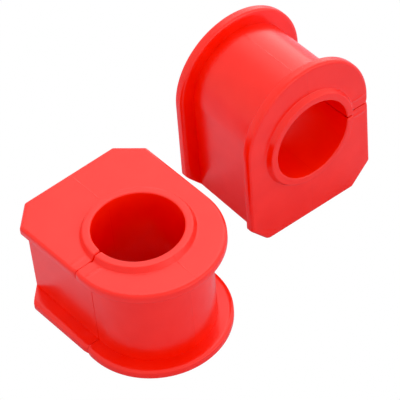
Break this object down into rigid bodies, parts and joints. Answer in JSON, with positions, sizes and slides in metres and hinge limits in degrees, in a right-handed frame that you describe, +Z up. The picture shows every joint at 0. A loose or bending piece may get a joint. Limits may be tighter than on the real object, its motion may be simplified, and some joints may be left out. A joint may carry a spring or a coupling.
{
  "type": "sway bar bushing",
  "caption": "Split, flanged polyurethane sway bar bushings with a flat base and a round crown, opened at the slit to slip over the bar and clamped to the frame by a strap.",
  "frame": {"origin": "on the floor, under the middle of the bounding box of both bushings", "axes": "+Z up; +X from the bushing that lies on its end towards the one that stands on its base; +Y along the standing bushing's bore, from its front face to its back"},
  "size_m": [0.1334, 0.0762, 0.0692],
  "materials": {
    "polyurethane": "satin red moulded polyurethane"
  },
  "bodies": {
    "lying_base": {"lying_bushing_base_half": "polyurethane"},
    "lying_crown": {"lying_bushing_crown_half": "polyurethane"},
    "standing_base": {"standing_bushing_base_half": "polyurethane"},
    "standing_crown": {"standing_bushing_crown_half": "polyurethane"}
  },
  "joints": [
    {"name": "lying_bushing_opens", "type": "hinge", "parent": "lying_base", "child": "lying_crown", "pos_m": [-0.00986, -0.00569, 0.02305], "axis": [0, 0, 1], "range_deg": [0, 44], "stiffness_Nm_per_rad": 1.3},
    {"name": "standing_bushing_slides", "type": "slide", "parent": "lying_base", "child": "standing_base", "axis": [1, 0, 0], "range_m": [0, 0.06]},
    {"name": "standing_bushing_opens", "type": "hinge", "parent": "standing_base", "child": "standing_crown", "pos_m": [0.01107, 0.01501, 0.038], "axis": [0, -1, 0], "range_deg": [0, 44], "stiffness_Nm_per_rad": 1.3}
  ]
}
